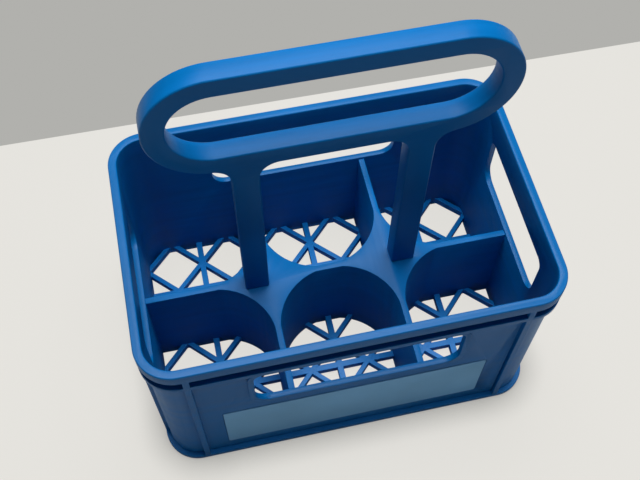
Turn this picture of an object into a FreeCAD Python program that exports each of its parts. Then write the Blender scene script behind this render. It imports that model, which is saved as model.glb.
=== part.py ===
import FreeCAD, Part
import math
import os
import re
import Sketcher

# A crate-shaped carrier for six half-litre bottles, with a flat handle that plugs into its divider.
# X runs along the crate, -Y is the front with the label plate, +Z is up.
# The origin is the centre of the bottom face. All sizes are millimetres.

document = FreeCAD.newDocument("six_pack_carrier")

# ---------------------------------------------------------------- driving sizes

SIZES = (
    ("cell_length", 73.5, "clear length of one bottle cell"),
    ("cell_depth", 72.1, "clear depth of one bottle cell"),
    ("bottle_circle", 37.05, "radius of the round corners that hold a bottle"),
    ("web_thickness", 3.8, "thickness of the divider's webs"),
    ("divider_top", 76.5, "height of the divider's top face"),
    ("rim_width", 5.0, "width of the rim, from outside to inside"),
    ("rim_height", 8.0, "height of the rim band"),
    ("rim_top", 138.0, "height of the crate"),
    ("rim_chamfer", 0.5, "bevel on the rim's two top edges"),
    ("corner_radius", 21.0, "outer corner radius of the crate"),
    ("wall_thickness", 2.0, "thickness of the recessed wall panels"),
    ("groove_height", 7.6, "height of the groove under the rim band"),
    ("strip_height", 3.9, "height of the raised strip under the groove"),
    ("base_thickness", 4.0, "height of the base flange and its lattice"),
    ("bar_width", 4.0, "width of a lattice bar"),
    ("rib_width", 3.6, "width of an upright rib"),
    ("rib_inset", 23.9, "distance from the crate's end to a rib's middle"),
    ("window_length", 120.0, "hand hole in the long walls"),
    ("end_window_length", 90.0, "hand hole in the short walls"),
    ("window_sill", 78.0, "height of a hand hole's lower edge"),
    ("window_top", 115.0, "height of a hand hole's upper edge"),
    ("window_low_radius", 9.5, "lower corners of a hand hole"),
    ("window_high_radius", 5.5, "upper corners of a hand hole"),
    ("frame_width", 3.5, "width of the raised frame round a hand hole"),
    ("frame_rise", 1.7, "height of that frame above the wall panel"),
    ("label_length", 160.6, "length of the label plate"),
    ("label_height", 49.2, "height of the label plate"),
    ("label_bottom", 14.6, "height of the label plate's lower edge"),
    ("label_thickness", 1.0, "thickness of the label plate"),
    ("label_radius", 1.5, "corner radius of the label plate"),
    ("label_recess", 0.8, "depth of the seat that the plate is glued in"),
    ("label_gap", 0.3, "seam round the label plate"),
    ("handle_thickness", 11.2, "thickness of the handle plate"),
    ("grip_centre", 241.0, "height of the grip loop's middle"),
    ("grip_straight", 114.2, "length of the grip loop's straight runs"),
    ("grip_radius", 34.6, "outer radius of the grip loop's ends"),
    ("grip_band", 11.4, "width of the band that forms the loop"),
    ("post_width", 14.4, "width of a handle post"),
    ("post_gap", 77.0, "clear distance between the two posts"),
    ("post_fillet", 11.0, "radius where a post runs into the loop"),
    ("handle_chamfer", 0.6, "bevel on the handle's edges"),
    ("tenon_length", 40.0, "depth that a post's tenon reaches into the divider"),
    ("tenon_width", 10.4, "width of a tenon"),
    ("tenon_thickness", 6.0, "thickness of a tenon"),
    ("socket_clearance", 0.15, "clearance round a tenon"),
    ("socket_floor_gap", 1.0, "space under a tenon's tip"),
)

sheet = document.addObject("Spreadsheet::Sheet", "Sizes")
for row, (alias, value, meaning) in enumerate(SIZES, start=1):
    sheet.set(f"A{row}", alias)
    sheet.set(f"B{row}", str(value))
    sheet.set(f"C{row}", meaning)
    sheet.setAlias(f"B{row}", alias)
document.recompute()


def number(expression):
    """The present value of an expression over the sheet."""
    return float(sheet.evalExpression(expression))


def of_sheet(expression):
    """The same expression, as another object of the document has to write it."""
    aliases = {alias for alias, _value, _meaning in SIZES}
    return re.sub(r"[a-z_]+", lambda word: f"Sizes.{word[0]}" if word[0] in aliases else word[0], expression)


# sizes that follow from the driving ones
CELL_PITCH_X = "(cell_length + web_thickness)"
CELL_PITCH_Y = "(cell_depth + web_thickness)"
INNER_LENGTH = "(3 * cell_length + 2 * web_thickness)"
INNER_DEPTH = "(2 * cell_depth + web_thickness)"
CRATE_LENGTH = f"({INNER_LENGTH} + 2 * rim_width)"
CRATE_DEPTH = f"({INNER_DEPTH} + 2 * rim_width)"
SETBACK = "(rim_width - wall_thickness)"
WALL_TOP = "(rim_top - rim_height)"
STRIP_TOP = f"({WALL_TOP} - groove_height)"
THROUGH = f"({CRATE_LENGTH} + {CRATE_DEPTH})"
LATTICE_PITCH = f"({CELL_PITCH_X} / 4)"
POST_MIDDLE = "(post_gap / 2 + post_width / 2)"

# ---------------------------------------------------------------- helpers


def bind(thing, **expressions):
    """Tie properties to the sheet; a double underscore stands for a dot."""
    for path, expression in expressions.items():
        thing.setExpression(path.replace("__", "."), of_sheet(expression))


def box(name, start, span):
    """A block from its lowest corner and its three lengths, as expressions."""
    block = document.addObject("Part::Box", name)
    bind(block, Length=span[0], Width=span[1], Height=span[2])
    bind(block, Placement__Base__x=start[0], Placement__Base__y=start[1], Placement__Base__z=start[2])
    return block


def upright_cylinder(name, centre, radius, bottom, height):
    round_bar = document.addObject("Part::Cylinder", name)
    bind(round_bar, Radius=radius, Height=height)
    bind(round_bar, Placement__Base__x=centre[0], Placement__Base__y=centre[1], Placement__Base__z=bottom)
    return round_bar


def fuse(name, shapes):
    union = document.addObject("Part::MultiFuse", name)
    union.Shapes = shapes
    union.Refine = True
    return union


def common(name, shapes):
    shared = document.addObject("Part::MultiCommon", name)
    shared.Shapes = shapes
    shared.Refine = True
    return shared


def cut(name, base, tool):
    rest = document.addObject("Part::Cut", name)
    rest.Base = base
    rest.Tool = tool
    rest.Refine = True
    return rest


def sketch_in(body, name, plane, height="0"):
    """An empty sketch on one of the body's origin planes, moved along the plane's normal."""
    sketch = body.newObject("Sketcher::SketchObject", name)
    support = next(item for item in body.Origin.OriginFeatures if item.Role == plane)
    sketch.AttachmentSupport = [(support, "")]
    sketch.MapMode = "FlatFace"
    bind(sketch, AttachmentOffset__Base__z=height)
    return sketch


def dimension(sketch, name, expression, *constraint):
    """A named dimension that follows the sheet."""
    index = sketch.addConstraint(Sketcher.Constraint(*constraint, number(expression)))
    sketch.renameConstraint(index, name)
    sketch.setExpression(f"Constraints.{name}", of_sheet(expression))


def rounded_rectangle(sketch, tag, width, height, low_radius, high_radius, sill=None):
    """Four sides and four tangent arcs, centred across. Without a sill it is centred up and down too."""
    half = number(width) / 2
    low = number(sill) if sill else -number(height) / 2
    high = low + number(height)
    low_r = number(low_radius)
    high_r = number(high_radius)
    flat = FreeCAD.Vector(0, 0, 1)

    def line(x_from, y_from, x_to, y_to):
        run = Part.LineSegment(FreeCAD.Vector(x_from, y_from, 0), FreeCAD.Vector(x_to, y_to, 0))
        return sketch.addGeometry(run)

    def corner(x_middle, y_middle, radius, first_quarter):
        circle = Part.Circle(FreeCAD.Vector(x_middle, y_middle, 0), flat, radius)
        turn = first_quarter * math.pi / 2
        return sketch.addGeometry(Part.ArcOfCircle(circle, turn, turn + math.pi / 2))

    bottom = line(-half + low_r, low, half - low_r, low)
    low_right = corner(half - low_r, low + low_r, low_r, 3)
    right = line(half, low + low_r, half, high - high_r)
    high_right = corner(half - high_r, high - high_r, high_r, 0)
    top = line(half - high_r, high, -half + high_r, high)
    high_left = corner(-half + high_r, high - high_r, high_r, 1)
    left = line(-half, high - high_r, -half, low + low_r)
    low_left = corner(-half + low_r, low + low_r, low_r, 2)
    loop = (bottom, low_right, right, high_right, top, high_left, left, low_left)
    for this, following in zip(loop, loop[1:] + loop[:1]):
        sketch.addConstraint(Sketcher.Constraint("Tangent", this, 2, following, 1))
    sketch.addConstraint(Sketcher.Constraint("Symmetric", bottom, 1, bottom, 2, -2))
    sketch.addConstraint(Sketcher.Constraint("Horizontal", top))
    sketch.addConstraint(Sketcher.Constraint("Vertical", left))
    sketch.addConstraint(Sketcher.Constraint("Equal", low_left, low_right))
    sketch.addConstraint(Sketcher.Constraint("Equal", high_left, high_right))
    if sill:
        sketch.addConstraint(Sketcher.Constraint("Vertical", right))
        dimension(sketch, f"{tag}_sill", sill, "DistanceY", -1, 1, bottom, 1)
    else:
        sketch.addConstraint(Sketcher.Constraint("Symmetric", right, 1, right, 2, -1))
    dimension(sketch, f"{tag}_width", width, "DistanceX", left, 1, right, 1)
    dimension(sketch, f"{tag}_height", height, "DistanceY", bottom, 1, top, 1)
    dimension(sketch, f"{tag}_low_radius", low_radius, "Radius", low_right)
    dimension(sketch, f"{tag}_high_radius", high_radius, "Radius", high_right)


def pad(body, name, sketch, length, both_ways=False):
    solid = body.newObject("PartDesign::Pad", name)
    solid.Profile = sketch
    solid.SideType = "Symmetric" if both_ways else "One side"
    bind(solid, Length=length)
    return solid


def outline_ring(name, outer_inset, inner_inset, bottom, height):
    """A body standing on the crate's outline, between two insets from its outer face."""
    body = document.addObject("PartDesign::Body", name)
    sketch = sketch_in(body, f"{name}_outline", "XY_Plane", bottom)
    for tag, inset in (("outer", outer_inset), ("inner", inner_inset)):
        if inset is not None:
            length = f"({CRATE_LENGTH} - 2 * {inset})"
            depth = f"({CRATE_DEPTH} - 2 * {inset})"
            radius = f"(corner_radius - {inset})"
            rounded_rectangle(sketch, tag, length, depth, radius, radius)
    pad(body, f"{name}_pad", sketch, height)
    return body


def window_prism(name, plane, length, border):
    """The outline of a hand hole, wider all round by the border, right through the crate."""
    body = document.addObject("PartDesign::Body", name)
    sketch = sketch_in(body, f"{name}_outline", plane)
    rounded_rectangle(
        sketch,
        "window",
        f"({length} + 2 * {border})",
        f"(window_top - window_sill + 2 * {border})",
        f"(window_low_radius + {border})",
        f"(window_high_radius + {border})",
        sill=f"(window_sill - {border})",
    )
    pad(body, f"{name}_pad", sketch, THROUGH, both_ways=True)
    return body


def check(thing):
    """Stop if an object of the document failed or has no valid solid."""
    if "Invalid" in thing.State or "Error" in thing.State:
        raise RuntimeError(f"{thing.Label} did not compute: {thing.State}")
    if hasattr(thing, "Shape") and thing.TypeId.startswith("Part"):
        if thing.Shape.isNull() or not thing.Shape.isValid():
            raise RuntimeError(f"{thing.Label} has no valid shape")


# ---------------------------------------------------------------- base grid: flange and open lattice


def base_grid():
    """A flat frame flush with the rim, filled by diagonal bars that cross under each bottle."""
    outline = outline_ring("base_outline", "0", None, "0", "base_thickness")
    flange = outline_ring("base_flange", "0", "rim_width", "0", "base_thickness")
    bars = []

    half_reach = (number(CRATE_LENGTH) + number(CRATE_DEPTH)) / 2
    lines_each_side = int(half_reach / number(LATTICE_PITCH) / 2) + 1
    for slope in (-1, 1):
        for line in range(-lines_each_side, lines_each_side):
            # odd multiples of the pitch, so that the diagonals meet on the middle of each cell
            rise = f"({2 * line + 1} * {LATTICE_PITCH})"
            bar = box(f"diagonal_{len(bars) + 1}", ("0", "0", "0"), (THROUGH, "bar_width", "base_thickness"))
            bar.Placement.Rotation = FreeCAD.Rotation(FreeCAD.Vector(0, 0, 1), slope * 45)
            shift = f"(({THROUGH} - {slope} * bar_width) / 2 * sqrt(0.5))"
            drop = f"(({slope} * {THROUGH} + bar_width) / 2 * sqrt(0.5))"
            bind(bar, Placement__Base__x=f"0 - {shift}", Placement__Base__y=f"{rise} - {drop}")
            bars.append(bar)

    for column in (-1, 0, 1):
        start = (f"{column} * {CELL_PITCH_X} - bar_width / 2", f"0 - {CRATE_DEPTH} / 2", "0")
        span = ("bar_width", CRATE_DEPTH, "base_thickness")
        bars.append(box(f"cross_bar_{column + 2}", start, span))
    for row_side in (-1, 1):
        start = (f"0 - {CRATE_LENGTH} / 2", f"{row_side} * {CELL_PITCH_Y} / 2 - bar_width / 2", "0")
        span = (CRATE_LENGTH, "bar_width", "base_thickness")
        bars.append(box(f"long_bar_{(row_side + 3) // 2}", start, span))

    lattice = common("base_lattice", [outline, fuse("base_bars", bars)])
    return fuse("base_grid", [flange, lattice])


# ---------------------------------------------------------------- wall shell: four panels in one piece


def wall_shell():
    """Thin recessed panels. Ribs and strip are flush with the rim, the hand holes' frames stand lower."""
    height = f"({WALL_TOP} - base_thickness)"
    panels = outline_ring("wall_panels", SETBACK, "rim_width", "base_thickness", height)
    relief = outline_ring("wall_relief", "0", SETBACK, "base_thickness", height)

    corner = (f"0 - {THROUGH} / 2", f"0 - {THROUGH} / 2")
    strip_start = (*corner, f"{STRIP_TOP} - strip_height")
    slabs = [box("strip_slab", strip_start, (THROUGH, THROUGH, "strip_height"))]
    for side in (-1, 1):
        across = f"{side} * ({CRATE_LENGTH} / 2 - rib_inset) - rib_width / 2"
        start = (across, f"0 - {THROUGH} / 2", "base_thickness")
        slabs.append(box(f"long_wall_rib_{(side + 3) // 2}", start, ("rib_width", THROUGH, height)))
        across = f"{side} * ({CRATE_DEPTH} / 2 - rib_inset) - rib_width / 2"
        start = (f"0 - {THROUGH} / 2", across, "base_thickness")
        slabs.append(box(f"end_wall_rib_{(side + 3) // 2}", start, (THROUGH, "rib_width", height)))
    raised = common("wall_raised", [relief, fuse("wall_slabs", slabs)])

    low_relief = outline_ring("low_relief", f"({SETBACK} - frame_rise)", SETBACK, "base_thickness", height)
    borders = [
        window_prism("long_window_frame", "XZ_Plane", "window_length", "frame_width"),
        window_prism("end_window_frame", "YZ_Plane", "end_window_length", "frame_width"),
    ]
    frames = common("window_frames", [low_relief, fuse("frame_borders", borders)])

    openings = fuse(
        "wall_openings",
        [
            window_prism("long_window", "XZ_Plane", "window_length", "0"),
            window_prism("end_window", "YZ_Plane", "end_window_length", "0"),
            label_block("label_seat", "label_gap", "(label_recess + rim_width)"),
        ],
    )
    return cut("wall_shell", fuse("wall_solid", [panels, raised, frames]), openings)


# ---------------------------------------------------------------- rim ring


def rim_ring():
    """The band that crowns the walls, flush inside and out, bevelled on its two top edges."""
    body = outline_ring("rim_ring", "0", "rim_width", WALL_TOP, "rim_height")
    document.recompute()
    band = body.Tip
    top = max(range(len(band.Shape.Faces)), key=lambda face: band.Shape.Faces[face].CenterOfMass.z)
    bevel = body.newObject("PartDesign::Chamfer", "rim_bevel")
    bevel.Base = (band, [f"Face{top + 1}"])
    bind(bevel, Size="rim_chamfer")
    return body


# ---------------------------------------------------------------- bottle divider


def bottle_divider():
    """Upright webs for six cells, with a solid node round each crossing, hollowed by the bottles."""
    height = "(divider_top - base_thickness)"
    start = (f"0 - {INNER_LENGTH} / 2", "0 - web_thickness / 2", "base_thickness")
    webs = [box("long_web", start, (INNER_LENGTH, "web_thickness", height))]
    nodes = []
    for side in (-1, 1):
        index = (side + 3) // 2
        start = (
            f"{side} * {CELL_PITCH_X} / 2 - web_thickness / 2",
            f"0 - {INNER_DEPTH} / 2",
            "base_thickness",
        )
        webs.append(box(f"cross_web_{index}", start, ("web_thickness", INNER_DEPTH, height)))
        start = (
            f"{side} * {CELL_PITCH_X} / 2 - {CELL_PITCH_X} / 2",
            f"0 - {CELL_PITCH_Y} / 2",
            "base_thickness",
        )
        nodes.append(box(f"node_block_{index}", start, (CELL_PITCH_X, CELL_PITCH_Y, height)))

    bottles = []
    for column in (-1, 0, 1):
        for row_side in (-1, 1):
            centre = (f"{column} * {CELL_PITCH_X}", f"{row_side} * {CELL_PITCH_Y} / 2")
            name = f"bottle_{len(bottles) + 1}"
            bottles.append(upright_cylinder(name, centre, "bottle_circle", "base_thickness", height))

    sockets = [
        tenon_box(f"socket_{side + 2}", side, "socket_clearance", "socket_floor_gap")
        for side in (-1, 1)
    ]
    rounded_nodes = cut("rounded_nodes", fuse("node_blocks", nodes), fuse("bottles", bottles))
    solid = fuse("divider_solid", webs + [rounded_nodes])
    return cut("bottle_divider", solid, fuse("handle_sockets", sockets))


# ---------------------------------------------------------------- carry handle


def tenon_box(name, side, clearance, floor_gap):
    """The block that a tenon fills, grown by a clearance at its sides and a gap under its tip."""
    start = (
        f"{side} * {POST_MIDDLE} - tenon_width / 2 - {clearance}",
        f"0 - tenon_thickness / 2 - {clearance}",
        f"divider_top - tenon_length - {floor_gap}",
    )
    span = (
        f"tenon_width + 2 * {clearance}",
        f"tenon_thickness + 2 * {clearance}",
        f"tenon_length + {floor_gap}",
    )
    return box(name, start, span)


def handle_half_profile(sketch):
    """Half of the handle seen from the front: a stadium loop that runs into a post by two fillets."""
    middle = number("grip_straight / 2")
    centre = number("grip_centre")
    outer = number("grip_radius")
    inner = number("grip_radius - grip_band")
    fillet = number("post_fillet")
    near = number("post_gap / 2")
    far = near + number("post_width")
    foot = number("divider_top")
    under = centre - outer
    fillet_x = far + fillet
    fillet_z = centre - math.sqrt((outer + fillet) ** 2 - (fillet_x - middle) ** 2)
    lean = math.atan2(centre - fillet_z, middle - fillet_x)

    def line(x_from, z_from, x_to, z_to):
        run = Part.LineSegment(FreeCAD.Vector(x_from, z_from, 0), FreeCAD.Vector(x_to, z_to, 0))
        return sketch.addGeometry(run)

    def arc(x_middle, z_middle, radius, first, last):
        circle = Part.Circle(FreeCAD.Vector(x_middle, z_middle, 0), FreeCAD.Vector(0, 0, 1), radius)
        return sketch.addGeometry(Part.ArcOfCircle(circle, first, last))

    meet_x = fillet_x + fillet * math.cos(lean)
    meet_z = fillet_z + fillet * math.sin(lean)
    quarter = math.pi / 2
    lower_run = line(0, under, near - fillet, under)
    near_fillet = arc(near - fillet, under - fillet, fillet, 0, quarter)
    near_side = line(near, under - fillet, near, foot)
    post_foot = line(near, foot, far, foot)
    far_side = line(far, foot, far, fillet_z)
    far_fillet = arc(fillet_x, fillet_z, fillet, lean, math.pi)
    loop_end = arc(middle, centre, outer, math.atan2(meet_z - centre, meet_x - middle), quarter)
    upper_run = line(middle, centre + outer, 0, centre + outer)
    upper_seam = line(0, centre + outer, 0, centre + inner)
    slot_top = line(0, centre + inner, middle, centre + inner)
    slot_end = arc(middle, centre, inner, -quarter, quarter)
    slot_bottom = line(middle, centre - inner, 0, centre - inner)
    lower_seam = line(0, centre - inner, 0, under)

    start, end, middle_point = 1, 2, 3
    origin, upright_axis = -1, -2
    corners = (
        (near_side, end, post_foot, start),
        (post_foot, end, far_side, start),
        (upper_run, end, upper_seam, start),
        (upper_seam, end, slot_top, start),
        (slot_bottom, end, lower_seam, start),
        (lower_seam, end, lower_run, start),
        (slot_end, middle_point, loop_end, middle_point),
    )
    for corner in corners:
        sketch.addConstraint(Sketcher.Constraint("Coincident", *corner))
    joints = (
        (lower_run, end, near_fillet, end),
        (near_fillet, start, near_side, start),
        (far_side, end, far_fillet, end),
        (far_fillet, start, loop_end, start),
        (loop_end, end, upper_run, start),
        (slot_top, end, slot_end, end),
        (slot_end, start, slot_bottom, start),
    )
    for joint in joints:
        sketch.addConstraint(Sketcher.Constraint("Tangent", *joint))
    for level in (lower_run, post_foot, upper_run, slot_top, slot_bottom):
        sketch.addConstraint(Sketcher.Constraint("Horizontal", level))
    for plumb in (near_side, far_side, upper_seam):
        sketch.addConstraint(Sketcher.Constraint("Vertical", plumb))
    for seam_point in ((lower_run, start), (upper_run, end), (slot_bottom, end)):
        sketch.addConstraint(Sketcher.Constraint("PointOnObject", *seam_point, upright_axis))
    sketch.addConstraint(Sketcher.Constraint("Equal", near_fillet, far_fillet))

    dimension(sketch, "outer_radius", "grip_radius", "Radius", loop_end)
    dimension(sketch, "inner_radius", "grip_radius - grip_band", "Radius", slot_end)
    dimension(sketch, "fillet", "post_fillet", "Radius", near_fillet)
    dimension(sketch, "centre_up", "grip_centre", "DistanceY", origin, 1, loop_end, middle_point)
    dimension(sketch, "centre_out", "grip_straight / 2", "DistanceX", origin, 1, loop_end, middle_point)
    dimension(sketch, "underside", "grip_centre - grip_radius", "DistanceY", origin, 1, lower_run, start)
    dimension(sketch, "post_near", "post_gap / 2", "DistanceX", origin, 1, post_foot, start)
    dimension(sketch, "post_wide", "post_width", "DistanceX", post_foot, start, post_foot, end)
    dimension(sketch, "post_foot", "divider_top", "DistanceY", origin, 1, post_foot, start)


def carry_handle():
    """A flat plate: grip loop and two posts, with bevelled edges, and a tenon under each post."""
    body = document.addObject("PartDesign::Body", "handle_plate")
    sketch = sketch_in(body, "handle_half", "XZ_Plane")
    handle_half_profile(sketch)
    half = pad(body, "handle_half_pad", sketch, "handle_thickness", both_ways=True)
    mirrored = body.newObject("PartDesign::Mirrored", "handle_mirrored")
    mirrored.Originals = [half]
    mirrored.MirrorPlane = (sketch, ["V_Axis"])
    body.Tip = mirrored
    document.recompute()

    level = number("handle_thickness / 2")
    same_plane = 0.001
    broad = [
        f"Face{index}"
        for index, face in enumerate(mirrored.Shape.Faces, start=1)
        if abs(abs(face.CenterOfMass.y) - level) < same_plane
    ]
    bevel = body.newObject("PartDesign::Chamfer", "handle_bevel")
    bevel.Base = (mirrored, broad)
    bind(bevel, Size="handle_chamfer")
    body.Tip = bevel

    tenons = [tenon_box(f"tenon_{side + 2}", side, "0", "0") for side in (-1, 1)]
    return fuse("carry_handle", [body] + tenons)


# ---------------------------------------------------------------- label plate


def label_block(name, gap, length):
    """The label's outline, wider all round by a gap, standing out of its seat in the front panel."""
    body = document.addObject("PartDesign::Body", name)
    seat = f"({CRATE_DEPTH} / 2 - {SETBACK} - label_recess)"
    sketch = sketch_in(body, f"{name}_outline", "XZ_Plane", seat)
    rounded_rectangle(
        sketch,
        "label",
        f"(label_length + 2 * {gap})",
        f"(label_height + 2 * {gap})",
        f"(label_radius + {gap})",
        f"(label_radius + {gap})",
        sill=f"(label_bottom - {gap})",
    )
    pad(body, f"{name}_pad", sketch, length)
    return body


def label_plate():
    """A bare plate glued into its shallow seat."""
    return label_block("label_plate", "0", "label_thickness")


# ---------------------------------------------------------------- build, check and write

nodes = {
    "base_grid": base_grid(),
    "wall_shell": wall_shell(),
    "rim_ring": rim_ring(),
    "bottle_divider": bottle_divider(),
    "carry_handle": carry_handle(),
    "label_plate": label_plate(),
}
document.recompute()
for thing in document.Objects:
    check(thing)

os.makedirs("parts", exist_ok=True)
for node, piece in nodes.items():
    piece.Label = node
    check(piece)
    piece.Shape.exportStep(f"parts/{node}.step")
    size = piece.Shape.BoundBox
    print(f"{node}: {len(piece.Shape.Solids)} solid, {piece.Shape.Volume / 1000:.1f} cm3,", end=" ")
    print(f"x {size.XMin:.1f}..{size.XMax:.1f}, y {size.YMin:.1f}..{size.YMax:.1f},", end=" ")
    print(f"z {size.ZMin:.1f}..{size.ZMax:.1f}")
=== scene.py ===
import math

import bmesh
import bpy
import numpy as np
from mathutils import Matrix, Vector


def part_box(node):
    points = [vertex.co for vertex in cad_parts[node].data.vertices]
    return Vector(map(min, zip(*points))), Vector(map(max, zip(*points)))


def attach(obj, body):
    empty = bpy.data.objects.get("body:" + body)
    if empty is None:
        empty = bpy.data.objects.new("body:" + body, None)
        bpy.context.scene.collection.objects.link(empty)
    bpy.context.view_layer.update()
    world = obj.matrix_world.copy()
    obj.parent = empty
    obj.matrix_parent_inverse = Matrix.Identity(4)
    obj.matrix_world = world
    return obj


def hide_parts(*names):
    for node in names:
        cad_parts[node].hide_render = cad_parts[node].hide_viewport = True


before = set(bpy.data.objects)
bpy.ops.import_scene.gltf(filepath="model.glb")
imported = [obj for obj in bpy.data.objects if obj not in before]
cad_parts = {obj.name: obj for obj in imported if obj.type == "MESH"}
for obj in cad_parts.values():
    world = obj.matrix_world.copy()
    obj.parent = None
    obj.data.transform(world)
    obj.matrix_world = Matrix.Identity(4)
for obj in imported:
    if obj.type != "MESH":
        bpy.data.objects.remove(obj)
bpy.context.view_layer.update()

# ------------------------------------------------------------------ base grid
# The flange that the crate stands on, printed first in the crate's blue plastic and flush with the rim.
# In the photograph the lattice inside it stands higher, so the flange here and the bars of the next
# section take the place of the CAD node together.

MM = 0.001
# painted light: the crate's print blue made lighter for the flange and the lattice bars, brighter than the
# lamp leaves these low parts
LIT_FLOOR_BLUE = (0.0, 0.21, 0.62)
LAYER_HEIGHT, LINE_WIDTH = 0.25 * MM, 0.45 * MM
RIDGE_DEPTH, GRAIN_DEPTH = 0.04 * MM, 0.05 * MM
GRAIN_STRENGTH = 0.10
# a wave texture of scale 1 has a period of pi / 10
WAVE_PERIOD = math.pi / 10
# the bands wander: how far, in radians of their wave, and how finely next to the wave itself
LAYER_WANDER, LINE_WANDER = 0.6, 0.4
WANDER_SCALE = 0.02
# a face that looks along the build axis less than the first share is a side, more than the second a top
SIDE_LIMIT, TOP_LIMIT = 0.75, 0.95
# features per metre of the noise textures; patches are longer along the layers than across by the stretch
PATCH_SCALE, GRAIN_SCALE = 14.0, 1400.0
PATCH_STRETCH = 12.0
# the values of the patches between which the shade and the roughness swing, and how far they swing
SHADE_SPREAD, SHADE_SWING = (0.30, 0.70), 0.10
GLOSS_SPREAD, GLOSS_DROP, GLOSS_RISE = (0.25, 0.75), 0.05, 0.07
PLASTIC_IOR = 1.46


def fill(tree, node, sockets):
    """Sets each named or numbered socket of the node to a value, or links it to another node's output."""
    for socket, value in sockets.items():
        if isinstance(value, bpy.types.NodeSocket):
            tree.links.new(value, node.inputs[socket])
        else:
            node.inputs[socket].default_value = value
    return node


def add(tree, kind, sockets=None, **settings):
    """A new node of the kind, with its settings made and its sockets filled."""
    node = tree.nodes.new(f"ShaderNode{kind}")
    for setting, value in settings.items():
        setattr(node, setting, value)
    return fill(tree, node, sockets or {})


def bands(tree, place, direction, period, wander):
    """Parallel bands of the period, square to the direction."""
    waves = add(tree, "TexWave", {
        "Vector": place, "Scale": WAVE_PERIOD / period,
        "Distortion": wander, "Detail": 1.0, "Detail Scale": WANDER_SCALE,
    }, wave_type="BANDS", bands_direction=direction)
    return waves.outputs["Fac"]


def printed_plastic(name, colour, build_axis, roughness=0.36, raster=0.35, shine=0.22):
    """Satin filament print. Bands one layer high run round the sides, square to the build axis, and
    faces that look along the build axis show a diagonal raster of extruded lines. A slow noise that
    runs along the layers shifts the shade and the gloss by a few percent, as cooling does."""
    material = bpy.data.materials.new(name)
    material.use_nodes = True
    tree = material.node_tree
    place = add(tree, "TexCoord").outputs["Object"]

    # layers on the sides, extruded lines on top
    diagonal = [math.pi / 4 if axis == build_axis else 0.0 for axis in "XYZ"]
    turned = add(tree, "Mapping", {"Vector": place, "Rotation": diagonal}).outputs["Vector"]
    layers = bands(tree, place, build_axis, LAYER_HEIGHT, LAYER_WANDER)
    lines = bands(tree, turned, "Y" if build_axis == "X" else "X", LINE_WIDTH, LINE_WANDER)
    normal = add(tree, "NewGeometry").outputs["True Normal"]
    facing = add(tree, "SeparateXYZ", {"Vector": normal}).outputs[build_axis]
    share = add(tree, "Math", {0: facing}, operation="ABSOLUTE").outputs["Value"]
    top = add(tree, "MapRange", {"Value": share, "From Min": SIDE_LIMIT, "From Max": TOP_LIMIT})
    relief = add(tree, "Mix", {"Factor": top.outputs["Result"], "A": layers, "B": lines}, data_type="FLOAT")

    # slow patches of shade and gloss
    stretch = [PATCH_STRETCH if axis == build_axis else 1.0 for axis in "XYZ"]
    along_layers = add(tree, "Mapping", {"Vector": place, "Scale": stretch}).outputs["Vector"]
    patches = add(tree, "TexNoise", {
        "Vector": along_layers, "Scale": PATCH_SCALE, "Detail": 3.0, "Roughness": 0.55,
    }).outputs["Fac"]
    shade = add(tree, "MapRange", {
        "Value": patches, "From Min": SHADE_SPREAD[0], "From Max": SHADE_SPREAD[1],
        "To Min": 1.0 - SHADE_SWING, "To Max": 1.0 + SHADE_SWING,
    })
    tint = add(tree, "Mix", {
        "Factor": 1.0, "A": (*colour, 1.0), "B": shade.outputs["Result"],
    }, data_type="RGBA", blend_type="MULTIPLY")
    gloss = add(tree, "MapRange", {
        "Value": patches, "From Min": GLOSS_SPREAD[0], "From Max": GLOSS_SPREAD[1],
        "To Min": roughness - GLOSS_DROP, "To Max": roughness + GLOSS_RISE,
    })

    # the surface's relief: a fine grain under the ridges
    grain = add(tree, "TexNoise", {
        "Vector": place, "Scale": GRAIN_SCALE, "Detail": 2.0, "Roughness": 0.6,
    })
    fine = add(tree, "Bump", {
        "Strength": GRAIN_STRENGTH, "Distance": GRAIN_DEPTH, "Height": grain.outputs["Fac"],
    })
    ridges = add(tree, "Bump", {
        "Strength": raster, "Distance": RIDGE_DEPTH,
        "Height": relief.outputs["Result"], "Normal": fine.outputs["Normal"],
    })
    fill(tree, tree.nodes["Principled BSDF"], {
        "Base Color": tint.outputs["Result"], "Roughness": gloss.outputs["Result"],
        "Normal": ridges.outputs["Normal"], "IOR": PLASTIC_IOR, "Specular IOR Level": shine,
    })
    return material


def in_scene(name, mesh, material):
    """An object that shows the mesh in one material, with its place in its mesh."""
    mesh.materials.append(material)
    piece = bpy.data.objects.new(name, mesh)
    bpy.context.scene.collection.objects.link(piece)
    return piece


def crate_piece(name, corners, faces, material):
    """A new piece of the crate from its corner points and faces."""
    mesh = bpy.data.meshes.new(name)
    mesh.from_pydata(corners.reshape(-1, 3).tolist(), [], faces)
    piece = in_scene(name, mesh, material)
    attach(piece, "crate")
    return piece


OUTER_HALF = np.array(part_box("base_grid")[1][:2])
ROOM_HALF = np.array(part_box("bottle_divider")[1][:2])
FLANGE_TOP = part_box("base_grid")[1][2]
FLANGE_DEPTH = OUTER_HALF[0] - ROOM_HALF[0]
CRATE_CORNER = 21.0 * MM
FLANGE_EDGE = 0.4 * MM
# the flange meets the wall flush on its inner top edge, which stays as good as sharp
HAIR = 0.02 * MM
# points on each quarter arc of a plan and of a section
PLAN_POINTS, SECTION_POINTS = 24, 4


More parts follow.
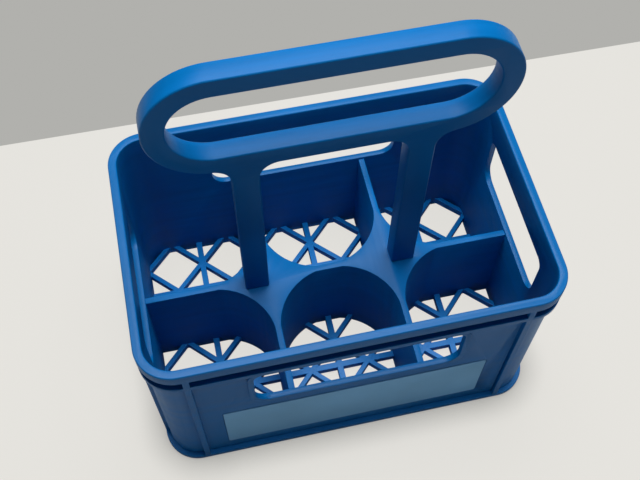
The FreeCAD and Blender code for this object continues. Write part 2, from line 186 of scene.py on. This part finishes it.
def rounded_section(first, last, low, high, rounding):
    """Closed outline as offsets and heights: up the first side, over the top, down the last side and back
    underneath. Each corner is a quarter arc, offset = middle + r cos t and height = middle + r sin t."""
    turn = np.arange(-1, 3)[:, None] * math.pi / 2 + np.linspace(0.0, math.pi / 2, SECTION_POINTS)
    radius = np.array(rounding)[:, None]
    middle = np.array([first, first, last, last])[:, None] + radius * np.array([-1, -1, 1, 1])[:, None]
    level = np.array([low, high, high, low])[:, None] + radius * np.array([1, -1, -1, 1])[:, None]
    return (middle + radius * np.cos(turn)).ravel(), (level + radius * np.sin(turn)).ravel()


def rounded_path(half, corner):
    """Points and outward normals round a rectangle with round corners, counterclockwise. The normal turns
    with the angle t, and a point is its corner's middle plus the corner's radius times (cos t, sin t)."""
    quarter = np.arange(4)[:, None] * math.pi / 2
    turn = quarter + np.linspace(0.0, math.pi / 2, PLAN_POINTS)
    normals = np.stack([np.cos(turn), np.sin(turn)], axis=-1)
    signs = np.sign(np.stack([np.cos(quarter + math.pi / 4), np.sin(quarter + math.pi / 4)], axis=-1))
    return (signs * (half - corner) + corner * normals).reshape(-1, 2), normals.reshape(-1, 2)


def base_flange(material):
    """The flange's section carried round the crate: point(u, v) = path(u) + normal(u) * offset(v)."""
    rounding = (FLANGE_EDGE, FLANGE_EDGE, HAIR, FLANGE_EDGE)
    offsets, heights = rounded_section(0.0, -FLANGE_DEPTH, 0.0, FLANGE_TOP, rounding)
    path, normals = rounded_path(OUTER_HALF, CRATE_CORNER)
    plan = path[:, None] + normals[:, None] * offsets[None, :, None]
    corners = np.concatenate([plan, np.broadcast_to(heights[:, None], plan.shape[:2] + (1,))], axis=-1)
    number = np.arange(corners[..., 0].size).reshape(corners.shape[:2])
    ahead, above = np.roll(number, -1, axis=0), np.roll(number, -1, axis=1)
    both = np.roll(ahead, -1, axis=1)
    faces = np.stack([number, ahead, both, above], axis=-1).reshape(-1, 4).tolist()
    piece = crate_piece("base_flange", corners, faces, material)
    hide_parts("base_grid")


# the flange and the lattice share the lighter blue, painted light over the same plastic as the walls
lit_floor_print = printed_plastic("lit_floor_print", LIT_FLOOR_BLUE, "Z")
base_flange(lit_floor_print)

# ------------------------------------------------------------------ lattice bars
# The open floor that the bottles stand on: diagonals, cross bars and long bars of the same print. They
# run from wall to wall through the divider's foot and stand higher than the flange.

ROOM_CORNER = CRATE_CORNER - FLANGE_DEPTH
WALL_BITE = 1.0 * MM
CELL_PITCH = np.array([77.3, 75.9]) * MM
DIAGONAL_WIDTH, STRAIGHT_WIDTH = 3.1 * MM, 4.0 * MM
BAR_FOOT, BAR_TOP = 2.0 * MM, 7.5 * MM
BAR_EDGE = 0.3 * MM
# the diagonals cross at odd quarters of the cell's pitch, as many as the room holds
DIAGONAL_QUARTERS = range(-9, 10, 2)
# bars that cross differ in height by this much, so that no two faces lie in one plane
CROSSING_STEP = 0.03 * MM
TRIAL_STEP = 0.1 * MM


def bar(angle, distance, width, rank):
    """The bar's section carried along the line x = t cos a - s sin a, y = t sin a + s cos a, where a is
    the angle and s the distance from the middle plus the side offset. It is given by its two end rings:
    t runs over the trial steps that lie inside the room, a rectangle with round corners grown by the
    bite, and each point of the section starts and ends where its own line does, on the wall."""
    lowered = rank * CROSSING_STEP
    offsets, heights = rounded_section(
        width / 2, -width / 2, BAR_FOOT + lowered, BAR_TOP - lowered, (BAR_EDGE,) * 4
    )
    reach = float(np.hypot(*ROOM_HALF))
    along = np.arange(-reach, reach, TRIAL_STEP)[:, None]
    across = distance + offsets[None, :]
    x = along * math.cos(angle) - across * math.sin(angle)
    y = along * math.sin(angle) + across * math.cos(angle)
    beyond_x = np.maximum(np.abs(x) - (ROOM_HALF[0] - ROOM_CORNER), 0.0)
    beyond_y = np.maximum(np.abs(y) - (ROOM_HALF[1] - ROOM_CORNER), 0.0)
    inside = np.hypot(beyond_x, beyond_y) < ROOM_CORNER + WALL_BITE
    ends = [inside.argmax(axis=0), len(along) - 1 - inside[::-1].argmax(axis=0)]
    column = np.arange(len(offsets))
    return np.stack([np.stack([x[end, column], y[end, column], heights], axis=-1) for end in ends])


def lattice_bars(bars, material):
    """One mesh of bars. The two end rings of each bar are joined by quads and capped."""
    corners = np.stack(bars)
    number = np.arange(corners[..., 0].size).reshape(corners.shape[:3])
    ahead = np.roll(number, -1, axis=2)
    sides = np.stack([number[:, 0], ahead[:, 0], ahead[:, 1], number[:, 1]], axis=-1)
    caps = number[:, 0, ::-1].tolist() + number[:, 1].tolist()
    crate_piece("lattice_bars", corners, sides.reshape(-1, 4).tolist() + caps, material)


bars = []
for rank, angle in enumerate((math.pi / 4, -math.pi / 4)):
    for quarter in DIAGONAL_QUARTERS:
        distance = quarter * CELL_PITCH[0] / 4 * math.cos(angle)
        bars.append(bar(angle, distance, DIAGONAL_WIDTH, rank))
# straight bars cross each cell in its middle, in three columns and two rows
bars += [bar(math.pi / 2, column * CELL_PITCH[0], STRAIGHT_WIDTH, rank=2) for column in (-1, 0, 1)]
bars += [bar(0.0, row * CELL_PITCH[1] / 2, STRAIGHT_WIDTH, rank=3) for row in (-1, 1)]
lattice_bars(bars, lit_floor_print)

# ------------------------------------------------------------------ wall shell
# Four thin walls of blue plastic with ribs, a strip and window frames. They are printed upright, straight
# on the flange.

PRINT_BLUE = (0.0, 0.145, 0.440)
WALL_EDGE = 0.25 * MM
# contact planes, as axis and level
X, Y, Z = 0, 1, 2
WALL_FOOT = (Z, FLANGE_TOP)
WALL_TOP = (Z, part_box("wall_shell")[1][Z])
SAME_POINT = 0.001 * MM
SAME_PLANE = math.radians(0.5)
HARD_EDGE = math.radians(30)
CONTACT_SLACK = 0.05 * MM


def softened(name, material, edge, contacts=(), foot=None, body="crate"):
    """A copy of the CAD node with its hard edges rounded by a small radius, as a printer's bead leaves
    them. Edges that lie in a contact plane, given as axis and level, stay hard, so that no seam opens
    where two pieces meet flush. A foot is a height that the lowest face is brought down to. The copy
    stands for the node and rides on the same body."""
    shape = bmesh.new()
    shape.from_mesh(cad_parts[name].data)
    bmesh.ops.remove_doubles(shape, verts=shape.verts, dist=SAME_POINT)
    if foot is not None:
        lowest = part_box(name)[0][Z]
        for vertex in shape.verts:
            if vertex.co.z < lowest + CONTACT_SLACK:
                vertex.co.z = foot
    bmesh.ops.dissolve_limit(shape, angle_limit=SAME_PLANE, verts=shape.verts, edges=shape.edges)
    weights = shape.edges.layers.float.new("bevel_weight_edge")
    for line in shape.edges:
        touching = any(
            all(abs(abs(vertex.co[axis]) - level) < CONTACT_SLACK for vertex in line.verts)
            for axis, level in contacts
        )
        hard = line.calc_face_angle() > HARD_EDGE
        line[weights] = 1.0 if hard and not touching else 0.0
        line.smooth = not (hard and touching)
    mesh = bpy.data.meshes.new(f"{name}_print")
    shape.to_mesh(mesh)
    shape.free()
    mesh.polygons.foreach_set("use_smooth", [True] * len(mesh.polygons))
    piece = in_scene(f"{name}_print", mesh, material)
    bevel = piece.modifiers.new("edges", "BEVEL")
    bevel.width = edge
    bevel.segments = 2
    bevel.limit_method = "WEIGHT"
    bevel.use_clamp_overlap = False
    bevel.harden_normals = True
    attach(piece, body)
    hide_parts(name)


crate_print = printed_plastic("crate_print", PRINT_BLUE, "Z")
softened("wall_shell", crate_print, WALL_EDGE, contacts=[WALL_FOOT, WALL_TOP])

# ------------------------------------------------------------------ rim ring
# The band of the same print that crowns the walls above the groove. Its bevelled top is the surface that
# hands and eyes meet first.

RIM_EDGE = 0.20 * MM

softened("rim_ring", crate_print, RIM_EDGE, contacts=[WALL_TOP])

# ------------------------------------------------------------------ bottle divider
# Webs and solid nodes between the bottles, printed upright, with the handle's sockets in the nodes. The
# foot is brought down between the lattice bars, to just above the table, as the photograph shows.

END_WALLS, LONG_WALLS = (X, ROOM_HALF[X]), (Y, ROOM_HALF[Y])
DIVIDER_FOOT = (Z, 0.3 * MM)
DIVIDER_EDGE = 0.25 * MM

divider_print = printed_plastic("divider_print", PRINT_BLUE, "Z", shine=0.14)
softened(
    "bottle_divider", divider_print, DIVIDER_EDGE,
    contacts=[DIVIDER_FOOT, END_WALLS, LONG_WALLS], foot=DIVIDER_FOOT[1],
)

# ------------------------------------------------------------------ carry handle
# A flat plate with the grip loop and two posts, printed lying down, so its layers run parallel to its
# broad faces. Its two tenons plug into the divider's nodes.

HANDLE_EDGE = 0.22 * MM

handle_print = printed_plastic("handle_print", PRINT_BLUE, "Y", raster=0.25, shine=0.16)
softened("carry_handle", handle_print, HANDLE_EDGE, body="handle")

# ------------------------------------------------------------------ label plate
# A bare plate of greyer blue plastic, printed face down on a smooth bed and glued into its seat in the
# front wall.

LABEL_BLUE = (0.26, 0.56, 0.88)
LABEL_EDGE = 0.08 * MM

label_print = printed_plastic("label_print", LABEL_BLUE, "Y", roughness=0.45, raster=0.30)
softened("label_plate", label_print, LABEL_EDGE)

# ------------------------------------------------------------------ camera
# The photograph's viewpoint, worked out from the crate's own edges. The frame's middle lies a little off
# the optical axis.

CAMERA_PLACE = Vector((-0.068006, -0.262533, 0.584280))
CAMERA_TARGET = Vector((0.050231, 0.230558, -0.306466))
CAMERA_ROLL = -0.01899
FOCAL_PIXELS = 927.47
PHOTO_WIDTH, PHOTO_HEIGHT = 640, 480
MIDDLE_U, MIDDLE_V = 321.48, 240.71
SENSOR_WIDTH_MM = 36.0
NEAREST = 10.0 * MM

camera_data = bpy.data.cameras.new("photo_camera")
camera_data.sensor_width = SENSOR_WIDTH_MM
camera_data.lens = FOCAL_PIXELS / PHOTO_WIDTH * SENSOR_WIDTH_MM
camera_data.shift_x = (PHOTO_WIDTH / 2 - MIDDLE_U) / PHOTO_WIDTH
camera_data.shift_y = (MIDDLE_V - PHOTO_HEIGHT / 2) / PHOTO_WIDTH
camera_data.clip_start = NEAREST
camera = bpy.data.objects.new("photo_camera", camera_data)
bpy.context.scene.collection.objects.link(camera)
forward = (CAMERA_TARGET - CAMERA_PLACE).normalized()
level_right = forward.cross(Vector((0, 0, 1))).normalized()
level_down = forward.cross(level_right)
right = math.cos(CAMERA_ROLL) * level_right + math.sin(CAMERA_ROLL) * level_down
down = -math.sin(CAMERA_ROLL) * level_right + math.cos(CAMERA_ROLL) * level_down
turn = Matrix((right, -down, -forward)).transposed()
camera.matrix_world = Matrix.Translation(CAMERA_PLACE) @ turn.to_4x4()
bpy.context.scene.camera = camera

# ------------------------------------------------------------------ table and wall behind it
# A pale matt table, and a grey wall that meets it along the line seen in the photograph. The camera sees
# their plain shades, with a painted shadow that darkens the table close to the crate, and the crate gets
# the weaker light that a darker table would send back.

TABLE_SHADE = (0.790, 0.775, 0.735)
TABLE_BOUNCE = (0.59, 0.65, 0.66)
# painted shade: the table under the crate sends back this darker light, which dims the walls of the cells
DIMMED_CELL_BOUNCE = (0.24, 0.28, 0.30)
TABLE_ROUGHNESS = 0.85
# the share of the plain shade, which carries the painted contact shadow where asked; the rest is lit and
# keeps a faint shadow of the crate
TABLE_PLAIN_SHARE = 0.90
# painted shadow: near anything standing on the table, its plain shade fades to this dark tone, within this
# reach
PAINTED_CONTACT_SHADOW = (0.03, 0.04, 0.04)
PAINTED_SHADOW_REACH = 22.0 * MM
WALL_SHADE = (0.440, 0.438, 0.418)
SEAM_LEFT = (0.0, 146.0)
SEAM_RIGHT = (640.0, 41.5)
TABLE_REACH = 3.0
# the table has two parts, which meet under the flange, out of sight; the part under the crate bounces a
# much darker colour, painted shade in the crate's cells
UNDER_CRATE_HALF = (116.5 * MM, 76.5 * MM)
UNDER_CRATE_CUT = 12.0 * MM


def on_table(u, v):
    """The point of the table that a pixel of the photograph looks at."""
    ray = forward * FOCAL_PIXELS + right * (u - MIDDLE_U) + down * (v - MIDDLE_V)
    return CAMERA_PLACE - ray * (CAMERA_PLACE.z / ray.z)


def cut_rectangle(half_x, half_y, cut):
    """Eight corners, counterclockwise, of a centred level rectangle whose corners are cut off."""
    quarter = [(half_x, half_y - cut), (half_x - cut, half_y)]
    right_way = quarter + [(-x, y) for x, y in reversed(quarter)]
    return [(x, y, 0.0) for x, y in right_way + [(-x, -y) for x, y in right_way]]


def stage_sheet(name, corners, material, faces):
    """A flat sheet of the room, which is no part of the carrier."""
    mesh = bpy.data.meshes.new(name)
    mesh.from_pydata([tuple(corner) for corner in corners], [], faces)
    sheet = in_scene(name, mesh, material)
    return sheet


def table_top(name, bounce, contact):
    """A matt board with its shade for the camera and its bounce for the crate. With contact, a painted
    shadow darkens the shade where something stands close to it."""
    material = bpy.data.materials.new(name)
    material.use_nodes = True
    tree = material.node_tree
    seen = add(tree, "LightPath").outputs["Is Camera Ray"]
    colour = add(tree, "Mix", {
        "Factor": seen, "A": (*bounce, 1.0), "B": (*TABLE_SHADE, 1.0),
    }, data_type="RGBA")
    board = fill(tree, tree.nodes["Principled BSDF"], {
        "Base Color": colour.outputs["Result"], "Roughness": TABLE_ROUGHNESS, "Specular IOR Level": 0.0,
    })
    plain = add(tree, "Emission", {"Color": (*TABLE_SHADE, 1.0)})
    if contact:
        # painted shadow: ambient occlusion fades the plain shade towards the dark tone close to the crate
        near = add(tree, "AmbientOcclusion", {"Distance": PAINTED_SHADOW_REACH})
        painted_shadow = add(tree, "Mix", {
            "Factor": near.outputs["AO"], "A": (*PAINTED_CONTACT_SHADOW, 1.0), "B": (*TABLE_SHADE, 1.0),
        }, data_type="RGBA")
        fill(tree, plain, {"Color": painted_shadow.outputs["Result"]})
    share = add(tree, "Math", {0: seen, 1: TABLE_PLAIN_SHARE}, operation="MULTIPLY")
    blend = add(tree, "MixShader", {
        "Fac": share.outputs["Value"], 1: board.outputs["BSDF"], 2: plain.outputs["Emission"],
    })
    fill(tree, tree.nodes["Material Output"], {"Surface": blend.outputs["Shader"]})
    return material


def one_sided_glow(name, shade):
    """A plain shade seen from the front, and nothing seen from behind."""
    material = bpy.data.materials.new(name)
    material.use_nodes = True
    tree = material.node_tree
    tree.nodes.remove(tree.nodes["Principled BSDF"])
    glow = add(tree, "Emission", {"Color": (*shade, 1.0)})
    clear = add(tree, "BsdfTransparent")
    behind = add(tree, "NewGeometry").outputs["Backfacing"]
    one_side = add(tree, "MixShader", {
        "Fac": behind, 1: glow.outputs["Emission"], 2: clear.outputs["BSDF"],
    })
    fill(tree, tree.nodes["Material Output"], {"Surface": one_side.outputs["Shader"]})
    return material


under_corners = cut_rectangle(*UNDER_CRATE_HALF, UNDER_CRATE_CUT)
table_corners = under_corners + cut_rectangle(TABLE_REACH, TABLE_REACH, TABLE_REACH / 2)
table_faces = [(i, 8 + i, 8 + (i + 1) % 8, (i + 1) % 8) for i in range(8)]
stage_sheet("table", table_corners, table_top("table_top", TABLE_BOUNCE, contact=True), table_faces)
# the same board under the crate, with a darker bounce as painted shade for the cells
under_crate = table_top("table_under_crate", DIMMED_CELL_BOUNCE, contact=False)
stage_sheet("table_under_crate", under_corners, under_crate, [tuple(range(8))])

seam_from, seam_to = on_table(*SEAM_LEFT), on_table(*SEAM_RIGHT)
seam_run = (seam_to - seam_from).normalized() * TABLE_REACH
wall_low = [seam_from - seam_run, seam_to + seam_run]
wall_high = [point + Vector((0, 0, TABLE_REACH)) for point in reversed(wall_low)]
wall = stage_sheet("wall", wall_low + wall_high, one_sided_glow("wall_paint", WALL_SHADE), [(0, 1, 2, 3)])
wall.visible_diffuse = False
wall.visible_glossy = False
wall.visible_shadow = False

# ------------------------------------------------------------------ light
# Soft light from one large round panel above the crate, a little behind it, and a dim room all round.

PANEL_PLACE = Vector((0.10, 0.24, 1.27))
PANEL_AIM = Vector((0.0, 0.0, 0.08))
PANEL_SIZE = 0.95
PANEL_WATTS = 18.4
ROOM_TINT = (0.92, 0.96, 1.0)
ROOM_STRENGTH = 0.05

panel_data = bpy.data.lights.new("sky_light", "AREA")
panel_data.shape = "DISK"
panel_data.size = PANEL_SIZE
panel_data.energy = PANEL_WATTS
panel = bpy.data.objects.new("sky_light", panel_data)
bpy.context.scene.collection.objects.link(panel)
panel.location = PANEL_PLACE
panel.rotation_euler = (PANEL_AIM - PANEL_PLACE).to_track_quat("-Z", "Y").to_euler()

world = bpy.data.worlds.new("room")
world.use_nodes = True
room = world.node_tree
dim = fill(room, room.nodes["Background"], {"Color": (*ROOM_TINT, 1.0), "Strength": ROOM_STRENGTH})
# views from other sides look past the wall into the room, which is as pale as the wall there
pale = add(room, "Background", {"Color": (*WALL_SHADE, 1.0)})
room_seen = add(room, "MixShader", {
    "Fac": add(room, "LightPath").outputs["Is Camera Ray"],
    1: dim.outputs["Background"], 2: pale.outputs["Background"],
})
fill(room, room.nodes["World Output"], {"Surface": room_seen.outputs["Shader"]})
bpy.context.scene.world = world
bpy.context.scene.view_settings.view_transform = "Standard"
